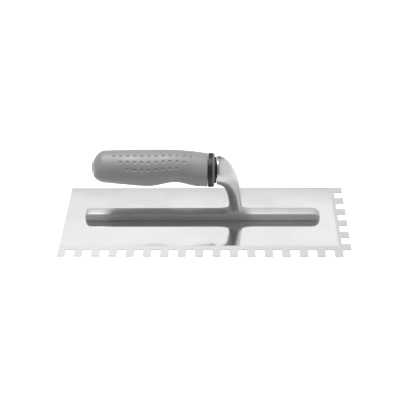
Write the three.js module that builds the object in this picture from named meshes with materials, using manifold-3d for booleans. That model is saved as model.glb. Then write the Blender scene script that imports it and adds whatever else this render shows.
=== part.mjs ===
// A notched trowel: a toothed blade riveted under a cast bar, whose gooseneck carries a soft-grip handle.
import * as THREE from 'three';
import { mergeVertices } from 'three/addons/utils/BufferGeometryUtils.js';
import Module from 'manifold-3d';

const wasm = await Module();
wasm.setup();

// Sizes in millimetres. X runs along the blade, Y from its toothed edge to its plain edge, Z up.

// Blade: square teeth along the front edge and the right-hand end, with the corner between them cut out.
const bladeLength = 280;
const bladeDepth = 99;
const bladeThickness = 0.8;
const toothWidth = 8;
const notchWidth = 8.5;
const notchDepth = 8.5;

// Cast bar along the middle of the blade's plain part.
const barLeftInset = 20.6;
const barRightInset = 26.4;
const barWidth = 10.6;
const barHeight = 9;
const barTopRound = 2.4;
const barFootRound = 0.6;
const barLeftNose = 4.5;
const barLeftNoseDrop = 6.5;
const barRightNose = 7;
const barRightNoseDrop = 7.5;
const cutterMargin = 1;

// Gooseneck: it rises from the bar and turns back to a round face that looks along the handle.
const neckOffset = 33.15;
const neckReach = 17.6;
const neckHalfLength = 5.7;
const neckFillet = 7.8;
const neckFaceRadius = 13.9;
// Shape of the bend: how far its outer and inner curves leave the face along the handle's axis and
// come down on the root, as shares of reach and rise, and how far they lean there.
const neckOuterLeave = 0.87;
const neckOuterArrive = 0.72;
const neckOuterLean = 0.8;
const neckInnerLeave = 0.41;
const neckInnerArrive = 0.45;
const neckInnerLean = -2.4;
const handleRise = 51.9;
const handleTilt = THREE.MathUtils.degToRad(1.5);

// Spigot on the neck's face, which the core sits on, and the gap between that face and the core's flange.
const spigotRadius = 7;
const spigotGrip = 10;
const coreStandoff = 2.1;

// Handle, measured along its own axis from the neck's face.
const handleLength = 118.2;
const flangeRadius = 16.15;
const flangeLength = 6.2;
const flangeChamfer = 1.6;
const bossRadius = 12.4;
const coreRadius = 9.5;
const coreEndWall = 5;
const gripFrontRadius = 15.9;
const gripShoulderRadius = 16.4;
const gripShoulderLift = 1;
const gripGrooveRadius = 15.45;
const gripGrooveLift = 4;
const gripGroovePlace = 38;
const gripBellyRadius = 17.5;
const gripBellyPlace = 63.5;
const gripBellyLift = 1.3;
const gripWaistRadius = 16.75;
const gripWaistLift = 1.6;
const gripTailRadius = 15.5;
const gripTailLift = 2;
const gripDome = 13.4;

// Fasteners
const rivetCount = 10;
const rivetEndDistance = 13;
const rivetShankRadius = 1.9;
const rivetHeadRadius = 3.3;
const rivetHeadRecess = 0.05;
const rivetDepthInBar = 5;
const countersinkLand = 0.2;
const studRadius = 3;
const studDepthInNeck = 12;
const studProud = 2;
const washerRadius = 6.2;
const washerThickness = 1.6;
const nutAcrossFlats = 10;
const nutHeight = 5;
const plugRadius = 7.2;
const plugLength = 12;

// Clearances
const rivetClearance = 0.05;
const fitClearance = 0.3;

// Facets round a full turn
const roundFacets = 32;
const rivetFacets = 24;
const smallFacets = 16;

// Places worked out from the sizes above.
const notchPitch = toothWidth + notchWidth;
const barLeft = -bladeLength / 2 + barLeftInset;
const barRight = bladeLength / 2 - barRightInset;
const barMiddle = (barLeft + barRight) / 2;
const barY = notchDepth / 2;
const barTop = bladeThickness + barHeight;
const neckRootX = barMiddle + neckOffset;
const faceCentre = new THREE.Vector3(neckRootX - neckReach, barY, barTop + handleRise);
const coreFront = -coreStandoff;
const flangeBack = coreFront - flangeLength;
const coreBack = -handleLength + coreEndWall;
const pocketRadius = plugRadius + fitClearance;
const plugInnerEnd = -handleLength + plugLength;
const studEnd = plugInnerEnd + fitClearance + studProud;
const nutBack = studEnd + studProud;
const washerBack = nutBack + nutHeight + fitClearance;
const pocketFloor = washerBack + washerThickness + fitClearance;

// A closed mesh made a solid, and a solid made a mesh again.
function solidOf(geometry) {
  const bare = geometry.clone();
  bare.deleteAttribute('normal');
  bare.deleteAttribute('uv');
  const merged = mergeVertices(bare, 1e-4);
  const vertProperties = new Float32Array(merged.attributes.position.array);
  const triVerts = new Uint32Array(merged.index.array);
  return new wasm.Manifold(new wasm.Mesh({ numProp: 3, vertProperties, triVerts }));
}

function geometryOf(solid) {
  const mesh = solid.getMesh();
  const geometry = new THREE.BufferGeometry();
  geometry.setAttribute('position', new THREE.BufferAttribute(mesh.vertProperties, 3));
  geometry.setIndex(new THREE.BufferAttribute(mesh.triVerts, 1));
  geometry.computeVertexNormals();
  return geometry;
}

// A closed skin over rings of points that run clockwise as seen looking along the direction they follow.
function loft(rings) {
  const count = rings[0].length;
  const points = rings.flat();
  const faces = [];
  for (let ring = 0; ring < rings.length - 1; ring++) {
    for (let step = 0; step < count; step++) {
      const next = (step + 1) % count;
      const a = ring * count + step;
      const b = ring * count + next;
      faces.push(a, a + count, b + count, a, b + count, b);
    }
  }
  const middleOf = (ring) => {
    const sum = new THREE.Vector3();
    ring.forEach((point) => sum.add(point));
    return sum.divideScalar(count);
  };
  const first = points.push(middleOf(rings[0])) - 1;
  const last = points.push(middleOf(rings[rings.length - 1])) - 1;
  const lastRing = (rings.length - 1) * count;
  for (let step = 0; step < count; step++) {
    const next = (step + 1) % count;
    faces.push(first, step, next);
    faces.push(last, lastRing + next, lastRing + step);
  }
  const geometry = new THREE.BufferGeometry().setFromPoints(points);
  geometry.setIndex(faces);
  return geometry;
}

// An oval ring about centre, with its half sizes along across and along the Y axis.
function ovalRing(centre, across, halfAcross, halfY, facets) {
  const ring = [];
  for (let step = 0; step < facets; step++) {
    const angle = (step / facets) * Math.PI * 2;
    const point = centre.clone().addScaledVector(across, halfAcross * Math.cos(angle));
    point.y += halfY * Math.sin(angle);
    ring.push(point);
  }
  return ring;
}

// A solid turned about the X axis, from pairs of place and radius in the order of rising X.
function turned(profile, facets) {
  const points = profile.map(([place, radius]) => new THREE.Vector2(radius, place));
  const geometry = new THREE.LatheGeometry(points, facets);
  geometry.rotateZ(-Math.PI / 2);
  return solidOf(geometry);
}

function rod(from, to, radius, facets) {
  return turned([[from, 0], [from, radius], [to, radius], [to, 0]], facets);
}

// The same solid of revolution stood upright at a place on the blade.
function upright(profile, x, y) {
  const points = profile.map(([place, radius]) => new THREE.Vector2(radius, place));
  const geometry = new THREE.LatheGeometry(points, rivetFacets);
  geometry.rotateX(Math.PI / 2);
  geometry.translate(x, y, 0);
  return solidOf(geometry);
}

// How many whole notches stand between the teeth of an edge, beyond the cut-out corner.
function notchCount(edgeLength) {
  return Math.floor((edgeLength - notchWidth - toothWidth / 2) / notchPitch);
}

function bladeOutline() {
  const left = -bladeLength / 2;
  const right = bladeLength / 2;
  const front = -bladeDepth / 2;
  const back = bladeDepth / 2;
  const outline = new THREE.Shape();
  outline.moveTo(left, back);
  outline.lineTo(left, front);
  for (let index = notchCount(bladeLength); index >= 1; index--) {
    const notchRight = right - index * notchPitch;
    outline.lineTo(notchRight - notchWidth, front);
    outline.lineTo(notchRight - notchWidth, front + notchDepth);
    outline.lineTo(notchRight, front + notchDepth);
    outline.lineTo(notchRight, front);
  }
  outline.lineTo(right - notchWidth, front);
  outline.lineTo(right - notchWidth, front + notchWidth);
  outline.lineTo(right, front + notchWidth);
  for (let index = 1; index <= notchCount(bladeDepth); index++) {
    const notchFront = front + index * notchPitch;
    outline.lineTo(right, notchFront);
    outline.lineTo(right - notchDepth, notchFront);
    outline.lineTo(right - notchDepth, notchFront + notchWidth);
    outline.lineTo(right, notchFront + notchWidth);
  }
  outline.lineTo(right, back);
  outline.closePath();
  return outline;
}

function rivetPlaces() {
  const first = barLeft + rivetEndDistance;
  const spacing = (barRight - rivetEndDistance - first) / (rivetCount - 1);
  return Array.from({ length: rivetCount }, (_, index) => first + index * spacing);
}

const sinkDepth = bladeThickness - countersinkLand;
const rivetTop = bladeThickness + rivetDepthInBar;

function rivet(x) {
  const profile = [
    [rivetHeadRecess, 0],
    [rivetHeadRecess, rivetHeadRadius],
    [sinkDepth, rivetShankRadius],
    [rivetTop, rivetShankRadius],
    [rivetTop, 0],
  ];
  return upright(profile, x, barY);
}

// The countersunk hole in the blade, which runs on as a blind hole in the bar.
function rivetHole(x) {
  const profile = [
    [-1, 0],
    [-1, rivetHeadRadius + rivetClearance],
    [rivetHeadRecess, rivetHeadRadius + rivetClearance],
    [sinkDepth, rivetShankRadius + rivetClearance],
    [rivetTop + rivetClearance, rivetShankRadius + rivetClearance],
    [rivetTop + rivetClearance, 0],
  ];
  return upright(profile, x, barY);
}

function extruded(outline, depth) {
  return new THREE.ExtrudeGeometry(outline, { depth, bevelEnabled: false, curveSegments: 5 });
}

function blade() {
  const sheet = extruded(bladeOutline(), bladeThickness);
  return rivetPlaces().reduce((solid, x) => solid.subtract(rivetHole(x)), solidOf(sheet));
}

// A rectangle with its own rounding at each corner: bottom left, bottom right, top right, top left.
function roundedOutline(low, high, rounds) {
  const outline = new THREE.Shape();
  const [bottomLeft, bottomRight, topRight, topLeft] = rounds;
  outline.moveTo(low.x + bottomLeft.x, low.y);
  outline.lineTo(high.x - bottomRight.x, low.y);
  outline.ellipse(0, bottomRight.y, bottomRight.x, bottomRight.y, -Math.PI / 2, 0);
  outline.lineTo(high.x, high.y - topRight.y);
  outline.ellipse(-topRight.x, 0, topRight.x, topRight.y, 0, Math.PI / 2);
  outline.lineTo(low.x + topLeft.x, high.y);
  outline.ellipse(0, -topLeft.y, topLeft.x, topLeft.y, Math.PI / 2, Math.PI);
  outline.lineTo(low.x, low.y + bottomLeft.y);
  outline.ellipse(bottomLeft.x, 0, bottomLeft.x, bottomLeft.y, Math.PI, Math.PI * 1.5);
  return outline;
}

// The bar is where its section, its side view and its plan view, each extruded, have room in common.
function bar() {
  const round = (x, y) => new THREE.Vector2(x, y);
  const foot = round(barFootRound, barFootRound);
  const crown = round(barTopRound, barTopRound);
  const halfWidth = barWidth / 2;
  const length = barRight - barLeft;

  const sectionOutline = roundedOutline(
    round(-halfWidth, bladeThickness), round(halfWidth, barTop), [foot, foot, crown, crown]);
  const section = extruded(sectionOutline, length);
  section.rotateX(Math.PI / 2);
  section.rotateZ(Math.PI / 2);
  section.translate(barLeft, barY, 0);

  const sideOutline = roundedOutline(
    round(barLeft, bladeThickness), round(barRight, barTop),
    [foot, foot, round(barRightNose, barRightNoseDrop), round(barLeftNose, barLeftNoseDrop)]);
  const side = extruded(sideOutline, barWidth + 2 * cutterMargin);
  side.rotateX(Math.PI / 2);
  side.translate(0, barY + halfWidth + cutterMargin, 0);

  const planOutline = roundedOutline(
    round(barLeft, barY - halfWidth), round(barRight, barY + halfWidth), [crown, crown, crown, crown]);
  const plan = extruded(planOutline, barTop + 2 * cutterMargin);
  plan.translate(0, 0, -cutterMargin);

  return solidOf(section).intersect(solidOf(side)).intersect(solidOf(plan));
}

// The neck is a run of ovals between two curves, which turn from the handle's axis to upright.
function neck() {
  const facets = 24;
  const bendSteps = 14;
  const flareSteps = 4;
  const along = new THREE.Vector3(Math.cos(handleTilt), 0, -Math.sin(handleTilt));
  const up = new THREE.Vector3(Math.sin(handleTilt), 0, Math.cos(handleTilt));
  const flareTop = barTop + neckFillet;
  const rise = faceCentre.z - flareTop;

  const rail = (side, leaving, arriving, lean) => {
    const start = faceCentre.clone().addScaledVector(up, side * neckFaceRadius);
    const end = new THREE.Vector3(neckRootX + side * neckHalfLength, barY, flareTop);
    const afterStart = start.clone().addScaledVector(along, leaving * neckReach);
    const beforeEnd = new THREE.Vector3(end.x + lean, barY, flareTop + arriving * rise);
    return new THREE.CubicBezierCurve3(start, afterStart, beforeEnd, end);
  };
  const outer = rail(1, neckOuterLeave, neckOuterArrive, neckOuterLean);
  const inner = rail(-1, neckInnerLeave, neckInnerArrive, neckInnerLean);

  const rings = [];
  for (let step = 0; step <= bendSteps; step++) {
    const share = step / bendSteps;
    const outside = outer.getPoint(share);
    const inside = inner.getPoint(share);
    const across = outside.clone().sub(inside);
    const centre = outside.clone().add(inside).multiplyScalar(0.5);
    const blend = 0.5 + 0.5 * Math.cos(Math.PI * share);
    const halfY = THREE.MathUtils.lerp(barWidth / 2, neckFaceRadius, blend);
    rings.push(ovalRing(centre, across.clone().normalize(), across.length() / 2, halfY, facets));
  }
  const xAxis = new THREE.Vector3(1, 0, 0);
  for (let step = 1; step <= flareSteps; step++) {
    const angle = (step / flareSteps) * Math.PI / 2;
    const centre = new THREE.Vector3(neckRootX, barY, flareTop - neckFillet * Math.sin(angle));
    const halfX = neckHalfLength + neckFillet * (1 - Math.cos(angle));
    rings.push(ovalRing(centre, xAxis, halfX, barWidth / 2, facets));
  }
  const sunk = new THREE.Vector3(neckRootX, barY, barTop - barTopRound);
  rings.push(ovalRing(sunk, xAxis, neckHalfLength + neckFillet, barWidth / 2, facets));
  return solidOf(loft(rings));
}

// Moves a solid made in the handle's own frame to its place on the neck.
function atHandle(solid) {
  const place = new THREE.Matrix4().makeRotationY(handleTilt).setPosition(faceCentre);
  return solidOf(geometryOf(solid).applyMatrix4(place));
}

function mountCasting() {
  const spigot = rod(-coreStandoff - spigotGrip, studRadius, spigotRadius, smallFacets);
  const studHole = rod(
    -handleLength, studDepthInNeck + fitClearance, studRadius + fitClearance, smallFacets);
  const casting = bar().add(neck()).add(atHandle(spigot)).subtract(atHandle(studHole));
  return rivetPlaces().reduce((solid, x) => solid.subtract(rivetHole(x)), casting);
}

function handleCore() {
  const body = turned([
    [coreBack, 0],
    [coreBack, coreRadius],
    [flangeBack, coreRadius],
    [flangeBack, flangeRadius],
    [coreFront - flangeChamfer, flangeRadius],
    [coreFront, flangeRadius - flangeChamfer],
    [coreFront, bossRadius],
    [-fitClearance, bossRadius],
    [-fitClearance, 0],
  ], roundFacets);
  const studBore = rod(-handleLength, 1, studRadius + fitClearance, smallFacets);
  const socket = rod(
    coreFront - spigotGrip - fitClearance, 1, spigotRadius + fitClearance, smallFacets);
  const pocket = rod(-handleLength, pocketFloor, pocketRadius, smallFacets);
  return body.subtract(studBore).subtract(socket).subtract(pocket);
}

// The grip's outer shape: round sections whose radius and lift follow one curve, closed by a domed end.
function gripShape() {
  const facets = 28;
  const bodySteps = 16;
  const domeSteps = 6;
  const front = flangeBack - fitClearance;
  const tail = -handleLength + gripDome;
  const outline = new THREE.CatmullRomCurve3([
    new THREE.Vector3(front, 0, gripFrontRadius),
    new THREE.Vector3((front * 2 - gripGroovePlace) / 3, gripShoulderLift, gripShoulderRadius),
    new THREE.Vector3(-gripGroovePlace, gripGrooveLift, gripGrooveRadius),
    new THREE.Vector3(-gripBellyPlace, gripBellyLift, gripBellyRadius),
    new THREE.Vector3((tail - gripBellyPlace) / 2, gripWaistLift, gripWaistRadius),
    new THREE.Vector3(tail, gripTailLift, gripTailRadius),
  ]);
  const up = new THREE.Vector3(0, 0, 1);
  const rings = [];
  for (let step = 1; step <= domeSteps; step++) {
    const angle = (step / domeSteps) * Math.PI / 2;
    const centre = new THREE.Vector3(tail - gripDome * Math.cos(angle), 0, gripTailLift);
    const radius = gripTailRadius * Math.sin(angle);
    rings.push(ovalRing(centre, up, radius, radius, facets));
  }
  for (let step = bodySteps - 1; step >= 0; step--) {
    const { x, y: lift, z: radius } = outline.getPoint(step / bodySteps);
    rings.push(ovalRing(new THREE.Vector3(x, 0, lift), up, radius, radius, facets));
  }
  return solidOf(loft(rings));
}

function gripSleeve(shape) {
  const bore = rod(coreBack - fitClearance, 1, coreRadius + fitClearance, roundFacets);
  const opening = rod(-handleLength - 1, 1, pocketRadius, smallFacets);
  return shape.subtract(bore).subtract(opening);
}

function endPlug(shape) {
  return shape.intersect(rod(-handleLength - 1, plugInnerEnd, plugRadius, smallFacets));
}

function tangStud() {
  return rod(studEnd, studDepthInNeck, studRadius, smallFacets);
}

function tangWasher() {
  const disc = rod(washerBack, washerBack + washerThickness, washerRadius, smallFacets);
  return disc.subtract(rod(-handleLength, 1, studRadius + fitClearance, smallFacets));
}

function tangNut() {
  const hexagon = rod(nutBack, nutBack + nutHeight, nutAcrossFlats / Math.sqrt(3), 6);
  return hexagon.subtract(rod(-handleLength, 1, studRadius + fitClearance, smallFacets));
}

// Finishes
const polishedSteel = new THREE.MeshStandardMaterial({ color: 0xdcdddd, roughness: 0.18, metalness: 1 });
const castAluminium = new THREE.MeshStandardMaterial({ color: 0xb9baba, roughness: 0.32, metalness: 1 });
const zincSteel = new THREE.MeshStandardMaterial({ color: 0xa9abac, roughness: 0.35, metalness: 1 });
const hardPlastic = new THREE.MeshStandardMaterial({ color: 0x2a2a2b, roughness: 0.45, metalness: 0 });
const softGrip = new THREE.MeshStandardMaterial({ color: 0x8b8c8c, roughness: 0.6, metalness: 0 });

function piece(name, solid, material) {
  const mesh = new THREE.Mesh(geometryOf(solid), material);
  mesh.name = name;
  return mesh;
}

const trowel = new THREE.Group();
trowel.add(piece('blade', blade(), polishedSteel));
trowel.add(piece('mount_casting', mountCasting(), castAluminium));
rivetPlaces().forEach((x, index) => {
  const number = String(index + 1).padStart(2, '0');
  trowel.add(piece(`rivet_${number}`, rivet(x), zincSteel));
});

const handle = new THREE.Group();
handle.position.copy(faceCentre);
handle.rotation.y = handleTilt;
trowel.add(handle);

const grip = gripShape();
handle.add(piece('handle_core', handleCore(), hardPlastic));
handle.add(piece('grip_sleeve', gripSleeve(grip), softGrip));
handle.add(piece('end_plug', endPlug(grip), hardPlastic));
handle.add(piece('tang_stud', tangStud(), zincSteel));
handle.add(piece('tang_washer', tangWasher(), zincSteel));
handle.add(piece('tang_nut', tangNut(), zincSteel));

export default trowel;
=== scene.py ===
import math

import bmesh
import bpy
import numpy as np
from mathutils import Matrix, Vector


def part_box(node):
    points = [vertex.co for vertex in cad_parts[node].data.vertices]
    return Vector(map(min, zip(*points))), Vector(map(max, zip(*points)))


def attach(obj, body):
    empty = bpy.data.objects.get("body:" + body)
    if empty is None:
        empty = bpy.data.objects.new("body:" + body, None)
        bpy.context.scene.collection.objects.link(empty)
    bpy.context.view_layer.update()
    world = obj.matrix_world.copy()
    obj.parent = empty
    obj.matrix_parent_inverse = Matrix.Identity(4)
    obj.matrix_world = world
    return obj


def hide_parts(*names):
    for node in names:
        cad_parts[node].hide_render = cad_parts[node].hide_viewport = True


# Notched trowel: smooth meshes and finishes round the fixed frame. Metres throughout.

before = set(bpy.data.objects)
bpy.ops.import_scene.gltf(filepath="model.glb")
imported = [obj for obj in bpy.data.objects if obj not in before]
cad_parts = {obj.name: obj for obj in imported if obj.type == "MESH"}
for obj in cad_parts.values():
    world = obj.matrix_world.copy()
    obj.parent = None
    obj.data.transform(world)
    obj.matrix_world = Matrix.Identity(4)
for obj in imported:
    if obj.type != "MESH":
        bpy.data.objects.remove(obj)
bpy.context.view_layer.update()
print("frame loaded:", len(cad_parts), "nodes")


# places taken from the frame
def middleOf(node):
    low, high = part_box(node)
    return np.array((low + high) / 2)


bladeLow, bladeHigh = (np.array(corner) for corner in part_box("blade"))
castLow, castHigh = (np.array(corner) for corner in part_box("mount_casting"))
studMiddle = middleOf("tang_stud")
barY = studMiddle[1]
alongHandle = studMiddle - middleOf("tang_washer")
alongHandle /= np.linalg.norm(alongHandle)  # from the grip towards the neck
upHandle = np.array([-alongHandle[2], 0.0, alongHandle[0]])
acrossHandle = np.array([0.0, 1.0, 0.0])
studDepthInNeck = 0.012
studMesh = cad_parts["tang_stud"].data
studPoints = np.zeros(len(studMesh.vertices) * 3)
studMesh.vertices.foreach_get("co", studPoints)
studFront = ((studPoints.reshape(-1, 3) - studMiddle) @ alongHandle).max()
faceCentre = studMiddle + alongHandle * (studFront - studDepthInNeck)


def newObject(name, points, faces, smooth=True):
    mesh = bpy.data.meshes.new(name)
    mesh.from_pydata(np.asarray(points, float).tolist(), [], [list(map(int, face)) for face in faces])
    mesh.validate()
    piece = bpy.data.objects.new(name, mesh)
    bpy.context.scene.collection.objects.link(piece)
    mesh.polygons.foreach_set("use_smooth", np.full(len(mesh.polygons), smooth))
    return piece


def closeUp(piece, mergeDistance=1e-7):
    # doubles merged first, then every face turned outwards
    work = bmesh.new()
    work.from_mesh(piece.data)
    bmesh.ops.remove_doubles(work, verts=work.verts, dist=mergeDistance)
    bmesh.ops.recalc_face_normals(work, faces=work.faces)
    work.to_mesh(piece.data)
    work.free()
    piece.data.update()


def gridFaces(rows, columns, closedRows):
    # quad (r, c) joins grid points r, r+1 and c, c+1; columns always close on themselves
    lastRow = rows if closedRows else rows - 1
    r, c = np.meshgrid(np.arange(lastRow), np.arange(columns), indexing="ij")
    r2 = (r + 1) % rows
    c2 = (c + 1) % columns
    corners = [r * columns + c, r * columns + c2, r2 * columns + c2, r2 * columns + c]
    return np.stack(corners, -1).reshape(-1, 4)


def roundedProfile(corners, steps=6):
    # corners are (along, radius, rounding); each is replaced by the arc tangent to its two sides
    outline = []
    count = len(corners)
    for index, (along, radius, rounding) in enumerate(corners):
        here = np.array([along, radius])
        if rounding <= 0:
            outline.append(here)
            continue
        before = np.array(corners[index - 1][:2]) - here
        after = np.array(corners[(index + 1) % count][:2]) - here
        before /= np.linalg.norm(before)
        after /= np.linalg.norm(after)
        half = math.acos(np.clip(before @ after, -1, 1)) / 2
        centre = here + (before + after) / np.linalg.norm(before + after) * rounding / math.sin(half)
        start = here + before * rounding / math.tan(half) - centre
        end = here + after * rounding / math.tan(half) - centre
        turn = math.pi - 2 * half
        share = np.linspace(0, 1, steps + 1)[:, None]
        arc = np.sin((1 - share) * turn) * start + np.sin(share * turn) * end
        outline.extend(centre + arc / math.sin(turn))
    return np.array(outline)


def revolve(name, profile, origin, axis, side, other, closed=True, columns=96):
    # point = origin + axis * along + radius * (side * cos a + other * sin a), for every angle a
    angle = np.linspace(0, 2 * np.pi, columns, endpoint=False)
    ring = np.cos(angle)[:, None] * side + np.sin(angle)[:, None] * other
    points = origin + profile[:, None, :1] * axis + profile[:, None, 1:] * ring[None]
    piece = newObject(name, points.reshape(-1, 3), gridFaces(len(profile), columns, closed))
    closeUp(piece)
    return piece


def onHandle(name, profile, closed=True, columns=96):
    return revolve(name, profile, faceCentre, alongHandle, upHandle, acrossHandle, closed, columns)


def place(piece, node):
    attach(piece, "root")
    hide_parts(node)


def newMaterial(name):
    material = bpy.data.materials.new(name)
    material.use_nodes = True
    tree = material.node_tree
    shader = next(node for node in tree.nodes if node.type == "BSDF_PRINCIPLED")
    return material, tree, shader


def noiseOn(tree, scale, detail=3.0, stretch=(1, 1, 1)):
    # noise on object coordinates, stretched by a mapping node
    coords = tree.nodes.new("ShaderNodeTexCoord")
    mapping = tree.nodes.new("ShaderNodeMapping")
    mapping.inputs["Scale"].default_value = stretch
    noise = tree.nodes.new("ShaderNodeTexNoise")
    noise.inputs["Scale"].default_value = scale
    noise.inputs["Detail"].default_value = detail
    tree.links.new(coords.outputs["Object"], mapping.inputs["Vector"])
    tree.links.new(mapping.outputs["Vector"], noise.inputs["Vector"])
    return noise.outputs["Fac"]


def remap(tree, value, low, high, newLow, newHigh):
    node = tree.nodes.new("ShaderNodeMapRange")
    node.interpolation_type = "SMOOTHSTEP"
    node.inputs["From Min"].default_value = low
    node.inputs["From Max"].default_value = high
    node.inputs["To Min"].default_value = newLow
    node.inputs["To Max"].default_value = newHigh
    tree.links.new(value, node.inputs["Value"])
    return node.outputs["Result"]


def compute(tree, operation, first, second):
    node = tree.nodes.new("ShaderNodeMath")
    node.operation = operation
    for socket, value in zip(node.inputs, (first, second)):
        if isinstance(value, (int, float)):
            socket.default_value = value
        else:
            tree.links.new(value, socket)
    return node.outputs["Value"]


def blendColour(tree, share, dark, light):
    # each colour is a tuple or the output of another node
    node = tree.nodes.new("ShaderNodeMix")
    node.data_type = "RGBA"
    for socket, colour in zip(node.inputs[6:8], (dark, light)):
        if isinstance(colour, tuple):
            socket.default_value = (*colour, 1)
        else:
            tree.links.new(colour, socket)
    tree.links.new(share, node.inputs[0])
    return node.outputs[2]


def addBump(tree, shader, height, strength, distance):
    bump = tree.nodes.new("ShaderNodeBump")
    bump.inputs["Strength"].default_value = strength
    bump.inputs["Distance"].default_value = distance
    tree.links.new(height, bump.inputs["Height"])
    tree.links.new(bump.outputs["Normal"], shader.inputs["Normal"])


bladeLook = {
    "edgeRounding": 0.00012,
    "cornerRounding": 0.0004,
    "rivetMargin": 0.006,  # edges nearer than this to the bar's middle line belong to rivet holes
    "barMargin": 0.004,
    "frontBand": 0.0052,  # duller strips beyond the notch roots
    "rightBand": 0.003,
    "notchDepth": 0.0085,
    "polishedRoughness": 0.1,
    "bandRoughness": 0.5,
    "dark": (0.84, 0.84, 0.842),
    "light": (0.90, 0.90, 0.902),
    "band": (0.4, 0.4, 0.402),
    "bandMetal": 0.25,
    "bandSoftness": 0.0007,
}


def makeBlade():
    # a merged copy of the sheet, its flat faces joined, its upright corners and its rims rounded
    piece = bpy.data.objects.new("bladeSheet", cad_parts["blade"].data.copy())
    bpy.context.scene.collection.objects.link(piece)
    work = bmesh.new()
    work.from_mesh(piece.data)
    bmesh.ops.remove_doubles(work, verts=work.verts, dist=2e-6)
    bmesh.ops.dissolve_limit(work, angle_limit=math.radians(1), verts=work.verts, edges=work.edges)
    nearlyThickness = 0.9 * (bladeHigh[2] - bladeLow[2])
    pastBar = castHigh[0] + bladeLook["barMargin"]

    def isOuter(vertex):
        return abs(vertex.co.y - barY) > bladeLook["rivetMargin"] or abs(vertex.co.x) > pastBar

    def isUpright(edge):
        return abs(edge.verts[0].co.z - edge.verts[1].co.z) > nearlyThickness

    corners = [edge for edge in work.edges if isUpright(edge) and isOuter(edge.verts[0])]
    bmesh.ops.bevel(
        work, geom=corners, offset=bladeLook["cornerRounding"], segments=3, affect="EDGES", profile=0.5)
    weight = work.edges.layers.float.new("bevel_weight_edge")
    for edge in work.edges:
        sharp = len(edge.link_faces) == 2 and edge.calc_face_angle(0) > math.radians(60)
        edge[weight] = 1.0 if sharp and all(map(isOuter, edge.verts)) else 0.0
    work.to_mesh(piece.data)
    work.free()
    rim = piece.modifiers.new("rim", "BEVEL")
    rim.limit_method = "WEIGHT"
    rim.width = bladeLook["edgeRounding"]
    rim.segments = 2
    rim.harden_normals = True
    normals = np.zeros(len(piece.data.polygons) * 3)
    piece.data.polygons.foreach_get("normal", normals)
    piece.data.polygons.foreach_set("use_smooth", np.abs(normals[2::3]) < 0.9)  # walls smooth, sheet flat
    return piece


def objectAxes(tree):
    coords = tree.nodes.new("ShaderNodeTexCoord")
    split = tree.nodes.new("ShaderNodeSeparateXYZ")
    tree.links.new(coords.outputs["Object"], split.inputs["Vector"])
    return split.outputs


def steelMaterial():
    # finely lined polish; beyond the notch roots the band is duller and less metallic
    material, tree, shader = newMaterial("polishedSteel")
    axes = objectAxes(tree)
    bandFront = bladeLow[1] + bladeLook["notchDepth"] + bladeLook["frontBand"]
    bandRight = bladeHigh[0] - bladeLook["notchDepth"] - bladeLook["rightBand"]
    soft = bladeLook["bandSoftness"]
    nearFront = remap(tree, axes["Y"], bandFront - soft, bandFront + soft, 1, 0)
    nearRight = remap(tree, axes["X"], bandRight - soft, bandRight + soft, 0, 1)
    band = compute(tree, "MAXIMUM", nearFront, nearRight)
    lines = noiseOn(tree, 60, 2, (0.35, 40, 1))
    smudges = noiseOn(tree, 18, 2, (1, 1.6, 1))
    polished = bladeLook["polishedRoughness"]
    polish = remap(tree, smudges, 0.3, 0.7, polished - 0.02, polished + 0.03)
    extra = compute(tree, "MULTIPLY", band, bladeLook["bandRoughness"] - polished)
    tree.links.new(compute(tree, "ADD", polish, extra), shader.inputs["Roughness"])
    sheet = blendColour(tree, lines, bladeLook["dark"], bladeLook["light"])
    tree.links.new(blendColour(tree, band, sheet, bladeLook["band"]), shader.inputs["Base Color"])
    tree.links.new(remap(tree, band, 0, 1, 1, bladeLook["bandMetal"]), shader.inputs["Metallic"])
    addBump(tree, shader, lines, 0.05, 0.00002)
    return material


blade = makeBlade()
blade.data.materials.clear()
blade.data.materials.append(steelMaterial())
place(blade, "blade")
print("blade made")


castLook = {
    "barWidth": 0.0106,
    "barHeight": 0.009,
    "leftNose": 0.0045,
    "rightNose": 0.007,
    "neckFromRight": 0.08335,  # from the bar's right end to the neck's root
    "neckReach": 0.0176,
    "neckHalfLength": 0.0057,
    "neckFillet": 0.0078,
    "faceRadius": 0.0139,
    "spigotRadius": 0.007,
    "spigotLength": 0.0121,
    "studHoleRadius": 0.0033,
    "studHoleDepth": 0.0123,
    # the bar's section as shares of half its width and of its height
    "sectionY": (1, 1, 1, 0.72, 0, -0.72, -1, -1, -1, 0),
    "sectionZ": (0, 0.48, 0.93, 1.0, 1.02, 1.0, 0.93, 0.48, 0, 0),
    "barStations": ((-0.112, -0.1, -0.07, -0.04, -0.01), (0.075, 0.095, 0.104)),  # left and right of the neck
    "noseTurns": (0, 28, 52, 72, 86),
    "noseTip": (0.2, 0.14),  # width and height left at the tips
    # how far each curve of the neck leaves the face, how far it rises over the root, and its lean
    "outerRail": (0.87, 0.72, 0.0008),
    "innerRail": (0.41, 0.45, -0.0024),
    "ringShares": (0.93, 0.82, 0.7, 0.58, 0.46, 0.34, 0.22, 0.1),
    # rings of the fillet: height over the bar, half length, squareness
    "flare": ((0.0011, 0.0098, 0.6), (0.0032, 0.0078, 0.68), (0.0068, 0.0067, 0.78)),
    "neckFacets": 12,
    "footCrease": 0.9,
    "levels": 3,
}
castFinish = {
    "barZone": 0.0108,  # heights between which the bar's finish becomes the neck's
    "neckZone": 0.017,
    "barDark": (0.315, 0.315, 0.315),
    "barLight": (0.375, 0.375, 0.375),
    "neckDark": (0.46, 0.46, 0.46),
    "neckLight": (0.51, 0.51, 0.51),
    "barRoughness": 0.58,
    "neckRoughness": 0.32,
    "barMetal": 0.4,
    "neckMetal": 1.0,
}
neckFacets = castLook["neckFacets"]
# makes up for what subdivision takes off a ring of this many points
roundBoost = 6 / (4 + 2 * math.cos(2 * math.pi / neckFacets))


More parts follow.
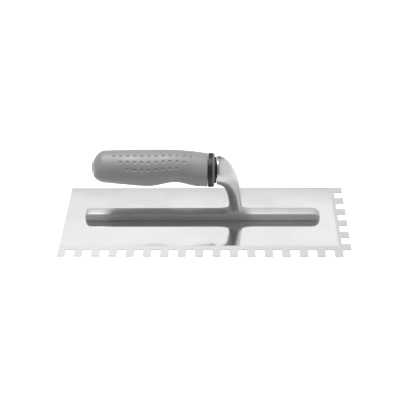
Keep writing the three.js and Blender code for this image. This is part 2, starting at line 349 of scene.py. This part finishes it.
def barRings():
    # the section is carried along x; over each nose width and height fall with a power of the turn's cosine
    left, right = castLow[0], castHigh[0]
    rootX = right - castLook["neckFromRight"]
    noseTurns = np.radians(castLook["noseTurns"])
    leftX = left + castLook["leftNose"] * (1 - np.sin(noseTurns[::-1]))
    rightX = right - castLook["rightNose"] * (1 - np.sin(noseTurns))
    patch = castLook["neckHalfLength"] + castLook["neckFillet"]
    leftStations, rightStations = castLook["barStations"]
    aroundRoot = rootX + patch * np.array([-1.6, -1, 0, 1, 1.6])
    body = np.concatenate([leftStations, aroundRoot, rightStations])
    stations = np.concatenate([leftX, body, rightX])

    def drawnIn(power, tip):
        nose = np.cos(noseTurns) ** power
        return np.concatenate([nose[::-1], np.ones(len(body)), nose])[:, None] * (1 - tip) + tip

    tipWidth, tipHeight = castLook["noseTip"]
    y = barY + castLook["barWidth"] / 2 * drawnIn(0.5, tipWidth) * castLook["sectionY"]
    z = castLow[2] + castLook["barHeight"] * drawnIn(0.75, tipHeight) * castLook["sectionZ"]
    x = np.repeat(stations[:, None], y.shape[1], 1)
    rootRow = len(leftX) + len(leftStations) + 2
    return np.stack([x, y, z], -1), rootRow, rootX


def bezier(points, share):
    # cubic curve: weights (1-t)^3, 3(1-t)^2 t, 3(1-t) t^2, t^3 on its four points
    t = share[:, None]
    weights = [(1 - t) ** 3, 3 * (1 - t) ** 2 * t, 3 * (1 - t) * t ** 2, t ** 3]
    return sum(weight * point for weight, point in zip(weights, points))


def neckRings(rootX):
    # oval rings between an outer and an inner curve; a power below 1 on cos and sin squares them at the root
    barTop = castLow[2] + castLook["barHeight"]
    flareTop = barTop + castLook["neckFillet"]
    rise = faceCentre[2] - flareTop

    def rail(side, leaving, arriving, lean):
        start = faceCentre + upHandle * side * castLook["faceRadius"]
        end = np.array([rootX + side * castLook["neckHalfLength"], barY, flareTop])
        afterStart = start + alongHandle * leaving * castLook["neckReach"]
        beforeEnd = np.array([end[0] + lean, barY, flareTop + arriving * rise])
        return bezier([start, afterStart, beforeEnd, end], share)

    share = np.array(castLook["ringShares"])
    outer = rail(1, *castLook["outerRail"])
    inner = rail(-1, *castLook["innerRail"])
    centre = (outer + inner) / 2
    across = outer - inner
    halfAcross = np.linalg.norm(across, axis=1)[:, None] / 2
    across = across / (2 * halfAcross)
    blend = 0.5 + 0.5 * np.cos(np.pi * share)
    halfBar = castLook["barWidth"] / 2
    halfY = halfBar + (castLook["faceRadius"] - halfBar) * blend
    squareness = np.interp(share, [0.5, 1.0], [1.0, 0.85])
    flareHeight, flareHalf, flareSquareness = np.array(castLook["flare"]).T
    flareCentre = np.stack([np.full(3, rootX), np.full(3, barY), barTop + flareHeight], -1)
    angle = np.arange(neckFacets) * 2 * np.pi / neckFacets

    def ovals(middles, directions, halves, depths, powers):
        cosine = np.sign(np.cos(angle)) * np.abs(np.cos(angle)) ** powers[:, None]
        sine = np.sign(np.sin(angle)) * np.abs(np.sin(angle)) ** powers[:, None]
        return (middles[:, None] + directions[:, None] * (halves[:, None] * cosine)[..., None]
                + acrossHandle * (depths[:, None] * sine)[..., None])

    flare = ovals(
        flareCentre, np.tile([1.0, 0, 0], (3, 1)), flareHalf, np.full(3, halfBar * 1.03), flareSquareness)
    bend = ovals(centre, across, halfAcross[:, 0] * roundBoost, halfY * roundBoost, squareness)

    # the face, its spigot and the stud's blind hole: (along, radius) carried round the handle's axis
    face, spigot, hole = castLook["faceRadius"], castLook["spigotRadius"], castLook["studHoleRadius"]
    reach, depth = castLook["spigotLength"], castLook["studHoleDepth"]
    profile = np.array([
        [0.0012, face], [0.0003, face], [0, face - 0.0005], [0, spigot + 0.0006], [-0.0003, spigot],
        [-reach + 0.0004, spigot], [-reach, spigot - 0.0005], [-reach, hole + 0.0004],
        [-reach + 0.0003, hole], [depth - 0.0003, hole], [depth, hole - 0.0004]])
    ring = np.cos(angle)[:, None] * upHandle + np.sin(angle)[:, None] * acrossHandle
    faceEnd = faceCentre + profile[:, None, :1] * alongHandle + profile[:, None, 1:] * roundBoost * ring[None]
    return np.concatenate([flare, bend, faceEnd])


def makeCasting():
    # bar and neck are one cage: the quads under the neck are left out and its rings start from that opening
    bar, rootRow, rootX = barRings()
    rows, columns = bar.shape[:2]
    neck = neckRings(rootX)
    points = np.concatenate([bar.reshape(-1, 3), neck.reshape(-1, 3)])
    r, c = np.meshgrid(np.arange(rows - 1), np.arange(columns), indexing="ij")
    underNeck = (r >= rootRow - 1) & (r <= rootRow) & (c >= 2) & (c <= 5)
    quads = gridFaces(rows, columns, False).reshape(rows - 1, columns, 4)[~underNeck]
    rowStep = np.array([1, 1, 1, 0, -1, -1, -1, -1, -1, 0, 1, 1])  # once round the opening
    column = np.array([4, 3, 2, 2, 2, 3, 4, 5, 6, 6, 6, 5])
    root = (rootRow + rowStep) * columns + column
    neckPoints = rows * columns + np.arange(len(neck) * neckFacets).reshape(-1, neckFacets)
    chain = np.concatenate([root[None], neckPoints])
    nextColumn = np.roll(chain, -1, axis=1)
    tube = np.stack([chain[:-1], nextColumn[:-1], nextColumn[1:], chain[1:]], -1).reshape(-1, 4)
    caps = [np.arange(columns), np.arange((rows - 1) * columns, rows * columns), chain[-1]]
    piece = newObject("castMounting", points, [*quads, *tube, *caps])
    closeUp(piece)

    # the two long edges of the foot stay crisp
    pairs = np.zeros(len(piece.data.edges) * 2, np.int32)
    piece.data.edges.foreach_get("vertices", pairs)
    pairs = pairs.reshape(-1, 2)
    spots = np.zeros(len(piece.data.vertices) * 3)
    piece.data.vertices.foreach_get("co", spots)
    spots = spots.reshape(-1, 3)
    onFoot = (np.abs(spots[:, 2] - castLow[2]) < 1e-6) & (np.abs(spots[:, 1] - barY) > 1e-5)
    alongFoot = onFoot[pairs].all(1) & (np.ptp(spots[pairs][:, :, 1], axis=1) < 0.003)
    crease = piece.data.attributes.new("crease_edge", "FLOAT", "EDGE")
    crease.data.foreach_set("value", np.where(alongFoot, castLook["footCrease"], 0.0).astype(np.float32))
    smooth = piece.modifiers.new("smooth", "SUBSURF")
    smooth.levels = smooth.render_levels = castLook["levels"]
    return piece


def castMaterial():
    # the neck is brighter, glossier and fully metallic, the bar darker, duller and less metallic; the change
    # runs up through the fillet
    material, tree, shader = newMaterial("castAluminium")
    height = objectAxes(tree)["Z"]
    neckShare = remap(tree, height, castFinish["barZone"], castFinish["neckZone"], 0, 1)
    grain = noiseOn(tree, 900, 3)
    cloud = noiseOn(tree, 45, 3)
    barTone = blendColour(tree, cloud, castFinish["barDark"], castFinish["barLight"])
    neckTone = blendColour(tree, cloud, castFinish["neckDark"], castFinish["neckLight"])
    tree.links.new(blendColour(tree, neckShare, barTone, neckTone), shader.inputs["Base Color"])
    evenness = remap(tree, cloud, 0.3, 0.7, -0.02, 0.02)
    roughness = remap(tree, neckShare, 0, 1, castFinish["barRoughness"], castFinish["neckRoughness"])
    tree.links.new(compute(tree, "ADD", roughness, evenness), shader.inputs["Roughness"])
    metal = remap(tree, neckShare, 0, 1, castFinish["barMetal"], castFinish["neckMetal"])
    tree.links.new(metal, shader.inputs["Metallic"])
    addBump(tree, shader, grain, 0.12, 0.00004)
    return material


casting = makeCasting()
casting.data.materials.append(castMaterial())
place(casting, "mount_casting")
print("casting made")


coreLook = {
    "standoff": 0.0021,
    "clearance": 0.0003,
    "bossRadius": 0.0124,
    "flangeRadius": 0.01615,
    "flangeLength": 0.0062,
    "flangeRounding": 0.0022,
    "coreRadius": 0.0095,
    "coreEnd": 0.1132,
    "socketRadius": 0.0073,
    "socketDepth": 0.0124,
    "studBore": 0.0033,
    "pocketRadius": 0.0075,
    "pocketFloor": 0.0945,
    "handleLength": 0.1182,
    "dark": (0.008, 0.008, 0.0085),
    "light": (0.014, 0.014, 0.0145),
    # painted highlight colour for the flange's rounded front edge
    "rubbed": (0.11, 0.11, 0.11),
    "roughness": (0.42, 0.52),
    "specular": 0.3,
}
plugLook = {"radius": 0.0072, "length": 0.012, "crown": 0.0018, "rim": 0.0004}


def makeCore():
    # one closed outline (along, radius) of socket, stud bore, pocket, tube, flange and boss, carried round
    look = coreLook
    front = -look["standoff"]
    flangeBack = front - look["flangeLength"]
    profile = roundedProfile([
        (-look["clearance"], look["socketRadius"], 0.0002),
        (-look["socketDepth"], look["socketRadius"], 0),
        (-look["socketDepth"], look["studBore"], 0),
        (-look["pocketFloor"], look["studBore"], 0),
        (-look["pocketFloor"], look["pocketRadius"], 0),
        (-look["coreEnd"], look["pocketRadius"], 0.0003),
        (-look["coreEnd"], look["coreRadius"], 0.0006),
        (flangeBack, look["coreRadius"], 0),
        (flangeBack, look["flangeRadius"], 0.0004),
        (front, look["flangeRadius"], look["flangeRounding"]),
        (front, look["bossRadius"], 0.0002),
        (-look["clearance"], look["bossRadius"], 0.0003),
    ])
    return onHandle("handleCore", profile)


def makePlug():
    # a straight wall, then a shallow crown whose depth is 1 - sqrt(1 - s^2) at the share s of the radius
    look = plugLook
    tip = -coreLook["handleLength"]
    inner = tip + look["length"]
    share = np.linspace(0.97, 0, 12)
    crown = np.stack([tip + look["crown"] * (1 - np.sqrt(1 - share ** 2)), look["radius"] * share], -1)
    wall = np.array([
        [inner, 0], [inner, look["radius"] - look["rim"]], [inner - look["rim"], look["radius"]],
        [tip + look["crown"] + look["rim"], look["radius"]]])
    return onHandle("endPlug", np.concatenate([wall, crown]), closed=False)


def plasticMaterial():
    # matt black, with a painted highlight: the rounded front edge of the flange is painted paler, standing in
    # for the light it catches
    material, tree, shader = newMaterial("blackPlastic")
    coords = tree.nodes.new("ShaderNodeTexCoord")
    along = tree.nodes.new("ShaderNodeVectorMath")
    along.operation = "DOT_PRODUCT"
    along.inputs[1].default_value = tuple(alongHandle)
    tree.links.new(coords.outputs["Object"], along.inputs[0])
    # painted highlight: a paler band from where the flange's front rounding starts to the flange's front
    front = float(faceCentre @ alongHandle) - coreLook["standoff"]
    highlightFrom = front - coreLook["flangeRounding"]
    past = remap(tree, along.outputs["Value"], highlightFrom - 0.0003, highlightFrom + 0.0007, 0, 1)
    before = remap(tree, along.outputs["Value"], front - 0.0001, front + 0.0001, 1, 0)
    rubbed = compute(tree, "MULTIPLY", past, before)
    grain = noiseOn(tree, 1400, 2)
    cloud = noiseOn(tree, 120, 2)
    black = blendColour(tree, cloud, coreLook["dark"], coreLook["light"])
    tree.links.new(blendColour(tree, rubbed, black, coreLook["rubbed"]), shader.inputs["Base Color"])
    tree.links.new(remap(tree, cloud, 0.3, 0.7, *coreLook["roughness"]), shader.inputs["Roughness"])
    shader.inputs["Specular IOR Level"].default_value = coreLook["specular"]
    addBump(tree, shader, grain, 0.2, 0.00003)
    return material


blackPlastic = plasticMaterial()
core = makeCore()
core.data.materials.append(blackPlastic)
place(core, "handle_core")
plug = makePlug()
plug.data.materials.append(blackPlastic)
place(plug, "end_plug")
print("core and end plug made")


gripLook = {
    "frontEnd": 0.0086,
    "endClearance": 0.0003,
    "dome": 0.0134,
    "boreRadius": 0.0098,
    "openingRadius": 0.0075,
    # distance from the neck's face, lift of the section's centre, radius
    "sections": [
        (0.0086, 0.0, 0.0159),
        (0.0184, 0.001, 0.0164),
        (0.0380, 0.004, 0.01538),
        (0.0635, 0.0013, 0.01739),
        (0.0841, 0.0016, 0.01664),
        (0.1048, 0.002, 0.01545),
    ],
    "dimpleRows": (11, 35, 59),  # degrees from the top, on both sides
    "dimplesInRow": (12, 10, 8),
    "dimplePitch": 0.00657,
    "dimpleMiddle": 0.0598,
    "dimpleRadius": 0.0016,
    "dimpleDepth": 0.0009,
    "lipRounding": 0.0006,
    "dark": (0.14, 0.141, 0.142),
    "light": (0.19, 0.191, 0.192),
    "roughness": (0.5, 0.6),
    "sheen": 0.8,
    "sheenRoughness": 0.3,
}


def smoothThrough(knots, values, at):
    # cubic Hermite curve through the values, with slopes from each knot's two neighbours
    slopes = np.gradient(values, knots)
    index = np.clip(np.searchsorted(knots, at) - 1, 0, len(knots) - 2)
    width = knots[index + 1] - knots[index]
    t = (at - knots[index]) / width
    rise = 3 * t ** 2 - 2 * t ** 3
    bend = (t ** 3 - 2 * t ** 2 + t) * slopes[index] + (t ** 3 - t ** 2) * slopes[index + 1]
    return (1 - rise) * values[index] + rise * values[index + 1] + bend * width


def gripRows():
    # (distance, lift, radius) of each ring, in a loop: dome, body, rounded lip, bore, end opening
    look = gripLook
    knots, lifts, radii = np.array(look["sections"]).T
    tail = coreLook["handleLength"] - look["dome"]
    opening = math.asin((look["openingRadius"] + look["endClearance"]) / radii[-1])
    turn = np.linspace(opening, np.pi / 2, 14)[:-1]
    toOpening = (np.pi / 2 - turn) / (np.pi / 2 - opening)
    domeLift = lifts[-1] * (1 - toOpening ** 2)  # comes back to the handle's axis where the plug sits
    dome = np.stack([tail + look["dome"] * np.cos(turn), domeLift, radii[-1] * np.sin(turn)], -1)
    halfRow = look["dimplesInRow"][0] * look["dimplePitch"] / 2
    fineEnd, fineStart = look["dimpleMiddle"] + halfRow, look["dimpleMiddle"] - halfRow
    distance = np.concatenate([
        np.linspace(tail, fineEnd, 6)[:-1], np.linspace(fineEnd, fineStart, 236)[:-1],
        np.linspace(fineStart, look["frontEnd"] + look["lipRounding"], 12)])
    lift, radius = smoothThrough(knots, lifts, distance), smoothThrough(knots, radii, distance)
    body = np.stack([distance, lift, radius], -1)
    front, edge = look["frontEnd"], look["lipRounding"]
    rounding = np.radians([30, 60, 90])
    lipRadius = radii[0] - edge * (1 - np.cos(rounding))
    lip = np.stack([front + edge * (1 - np.sin(rounding)), np.zeros(3), lipRadius], -1)
    boreEnd = coreLook["coreEnd"] + look["endClearance"]
    inside = np.array([
        [front, 0, look["boreRadius"]], [boreEnd, 0, look["boreRadius"]],
        [boreEnd, 0, look["openingRadius"]],
        [tail + look["dome"] * math.cos(opening) - 0.0002, 0, look["openingRadius"]]])
    rows = np.concatenate([dome, body, lip, inside])
    outer = np.arange(len(rows)) < len(dome) + len(body)
    return rows, outer


def makeGrip():
    # point = axis point at distance + up * (lift + radius * cos a) - across * radius * sin a;
    # a pit takes dimpleDepth * (1 - r^2)^1.3 off the radius, r being the way from its middle in pit radii
    look = gripLook
    rows, outer = gripRows()
    top = math.radians(look["dimpleRows"][-1] + 9)
    angle = np.concatenate([np.linspace(-top, top, 118), np.linspace(top, 2 * np.pi - top, 42)[1:-1]])
    distance, lift, radius = (column[:, None] for column in rows.T)
    depth = np.zeros((len(rows), len(angle)))
    for rowAngle, count in zip(look["dimpleRows"], look["dimplesInRow"]):
        places = look["dimpleMiddle"] + (np.arange(count) - (count - 1) / 2) * look["dimplePitch"]
        nearest = places[np.abs(distance - places).argmin(1)][:, None]
        for side in (-1, 1):
            turned = np.angle(np.exp(1j * (angle - side * math.radians(rowAngle))))
            away = np.hypot(distance - nearest, radius * turned) / look["dimpleRadius"]
            pit = np.clip(1 - away ** 2, 0, 1) ** 1.3
            depth = np.maximum(depth, pit * look["dimpleDepth"])
    pushed = radius - depth * outer[:, None]
    points = (faceCentre - distance[..., None] * alongHandle
              + (lift + pushed * np.cos(angle))[..., None] * upHandle
              - (pushed * np.sin(angle))[..., None] * acrossHandle)
    piece = newObject("gripSleeve", points.reshape(-1, 3), gridFaces(len(rows), len(angle), True))
    closeUp(piece)
    return piece


def gripMaterial():
    # grey rubber with a fine grain, and a sheen that lightens it at a low angle
    material, tree, shader = newMaterial("softGrip")
    grain = noiseOn(tree, 1600, 2)
    cloud = noiseOn(tree, 70, 3)
    tree.links.new(blendColour(tree, cloud, gripLook["dark"], gripLook["light"]), shader.inputs["Base Color"])
    tree.links.new(remap(tree, cloud, 0.3, 0.7, *gripLook["roughness"]), shader.inputs["Roughness"])
    shader.inputs["Sheen Weight"].default_value = gripLook["sheen"]
    shader.inputs["Sheen Roughness"].default_value = gripLook["sheenRoughness"]
    addBump(tree, shader, grain, 0.25, 0.00004)
    return material


grip = makeGrip()
grip.data.materials.append(gripMaterial())
place(grip, "grip_sleeve")
print("grip made")


rivetLook = {
    "headRadius": 0.00325,
    "shankRadius": 0.00188,
    "recess": 0.00005,
    "sink": 0.0006,
    "headRounding": 0.00008,
    "shankRounding": 0.0003,
    "dark": (0.55, 0.555, 0.56),
    "light": (0.68, 0.685, 0.69),
    "roughness": (0.25, 0.38),
}


def makeRivet(node):
    # outline (height, radius) of the sunk head and its shank, carried round the node's upright middle line
    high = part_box(node)[1]
    centre = np.array([*middleOf(node)[:2], 0.0])
    look = rivetLook
    profile = np.concatenate([
        [[look["recess"], 0]],
        roundedProfile([
            (look["recess"], look["headRadius"], look["headRounding"]),
            (look["sink"], look["shankRadius"], 0),
            (high.z, look["shankRadius"], look["shankRounding"]),
            (high.z, 0, 0)], 4)])
    up, x, y = np.array([0, 0, 1.0]), np.array([1.0, 0, 0]), np.array([0, 1.0, 0])
    return revolve(node.replace("_", ""), profile, centre, up, x, y, closed=False, columns=48)


def zincMaterial():
    # plated steel for the rivets and for the stud, washer and nut, cloudy in tone and gloss
    material, tree, shader = newMaterial("zincSteel")
    cloud = noiseOn(tree, 300, 3)
    tone = blendColour(tree, cloud, rivetLook["dark"], rivetLook["light"])
    tree.links.new(tone, shader.inputs["Base Color"])
    tree.links.new(remap(tree, cloud, 0.3, 0.7, *rivetLook["roughness"]), shader.inputs["Roughness"])
    shader.inputs["Metallic"].default_value = 1.0
    return material


zincSteel = zincMaterial()
for rivetNode in sorted(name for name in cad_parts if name.startswith("rivet_")):
    rivet = makeRivet(rivetNode)
    rivet.data.materials.append(zincSteel)
    place(rivet, rivetNode)

for name in ("tang_stud", "tang_washer", "tang_nut"):
    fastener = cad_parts[name]
    fastener.data.materials.clear()
    fastener.data.materials.append(zincSteel)
print("fasteners made")


studio = {
    "floorSize": 8.0,
    "floorDrop": 0.0001,
    "floorTone": 0.6,
    "floorGlow": 0.5,
    "keyPower": 25.0,
    "keySize": (0.4, 0.22),
    "keyPlace": (-0.26, 0.225, 1.27),
    # (angle, brightness), from the horizon behind (0) over the top (90) to the horizon in front (180)
    "sky": [
        (0, 0.15), (36, 0.2), (39.8, 0.45), (41.4, 1.0), (46.5, 1.0),
        (50, 0.3), (80, 0.16), (118, 0.14), (138, 0.2), (180, 0.12),
    ],
    # panels at the sides: where they fade in, by direction along x, and their brightness
    "rightPanel": (0.34, 0.5, 1.2),
    "leftPanel": (-0.75, -0.5, 0.5),
}
cameraLook = {
    "azimuth": 2.799,
    "elevation": 41.601,
    "roll": -1.971,
    "distance": 0.783822,
    "target": (-0.005595, 0.030247, 0.0008),
    "lens": 69.015,
}


def makeFloor():
    # a square just under the blade, with a faint glow of its own
    half, z = studio["floorSize"] / 2, -studio["floorDrop"]
    corners = [(-half, -half, z), (half, -half, z), (half, half, z), (-half, half, z)]
    floor = newObject("studioFloor", corners, [(0, 1, 2, 3)], smooth=False)
    material, tree, shader = newMaterial("paleFloor")
    shader.inputs["Base Color"].default_value = (*[studio["floorTone"]] * 3, 1)
    shader.inputs["Roughness"].default_value = 1.0
    shader.inputs["Specular IOR Level"].default_value = 0.0
    shader.inputs["Emission Color"].default_value = (1, 1, 1, 1)
    shader.inputs["Emission Strength"].default_value = studio["floorGlow"]
    floor.data.materials.append(material)


def makeLight():
    # one soft lamp, turned towards the origin; the handle's shadow falls along the bar
    light = bpy.data.lights.new("overhead", "AREA")
    light.shape = "RECTANGLE"
    light.size, light.size_y = studio["keySize"]
    light.energy = studio["keyPower"]
    lamp = bpy.data.objects.new("overhead", light)
    lamp.location = studio["keyPlace"]
    lamp.rotation_euler = (-Vector(studio["keyPlace"])).to_track_quat("-Z", "Y").to_euler()
    bpy.context.scene.collection.objects.link(lamp)


def makeSurroundings():
    # brightness by direction: a ramp over the angle from back to front, atan2(z, y) / pi, and two side panels
    world = bpy.data.worlds.new("studio")
    bpy.context.scene.world = world
    world.use_nodes = True
    tree = world.node_tree
    background = next(node for node in tree.nodes if node.type == "BACKGROUND")
    coords = tree.nodes.new("ShaderNodeTexCoord")
    split = tree.nodes.new("ShaderNodeSeparateXYZ")
    tree.links.new(coords.outputs["Generated"], split.inputs["Vector"])
    x, y, z = (split.outputs[axis] for axis in "XYZ")
    share = compute(tree, "DIVIDE", compute(tree, "ARCTAN2", z, y), math.pi)
    ramp = tree.nodes.new("ShaderNodeValToRGB")
    peak = max(tone for angle, tone in studio["sky"])
    elements = ramp.color_ramp.elements
    while len(elements) < len(studio["sky"]):
        elements.new(0.5)
    for element, (angle, tone) in zip(elements, studio["sky"]):
        element.position = angle / 180
        element.color = (*[tone / peak] * 3, 1)
    tree.links.new(share, ramp.inputs["Fac"])
    sky = compute(tree, "MULTIPLY", ramp.outputs["Color"], peak)
    rightFrom, rightTo, rightTone = studio["rightPanel"]
    leftFrom, leftTo, leftTone = studio["leftPanel"]
    right = remap(tree, x, rightFrom, rightTo, 0, rightTone)
    left = remap(tree, x, leftFrom, leftTo, leftTone, 0)
    sides = compute(tree, "MAXIMUM", right, left)
    tree.links.new(compute(tree, "MAXIMUM", sky, sides), background.inputs["Strength"])
    background.inputs["Color"].default_value = (1, 1, 1, 1)


def makeCamera():
    # the camera looks at the target from azimuth, elevation and distance, turned about its own axis by roll
    azimuth = math.radians(cameraLook["azimuth"])
    elevation = math.radians(cameraLook["elevation"])
    roll = math.radians(cameraLook["roll"])
    level = math.cos(elevation)
    back = Vector((math.sin(azimuth) * level, -math.cos(azimuth) * level, math.sin(elevation)))
    right = (-back).cross(Vector((0, 0, 1))).normalized()
    up = right.cross(-back)
    turnedRight = right * math.cos(roll) + up * math.sin(roll)
    turnedUp = up * math.cos(roll) - right * math.sin(roll)
    data = bpy.data.cameras.new("camera")
    data.sensor_width = 36
    data.lens = cameraLook["lens"]
    data.clip_start, data.clip_end = 0.01, 50
    camera = bpy.data.objects.new("camera", data)
    bpy.context.scene.collection.objects.link(camera)
    matrix = Matrix((turnedRight, turnedUp, back)).transposed().to_4x4()
    matrix.translation = Vector(cameraLook["target"]) + back * cameraLook["distance"]
    camera.matrix_world = matrix
    bpy.context.scene.camera = camera


makeCamera()
makeFloor()
makeLight()
makeSurroundings()
bpy.context.scene.view_settings.view_transform = "Standard"
print("studio made")
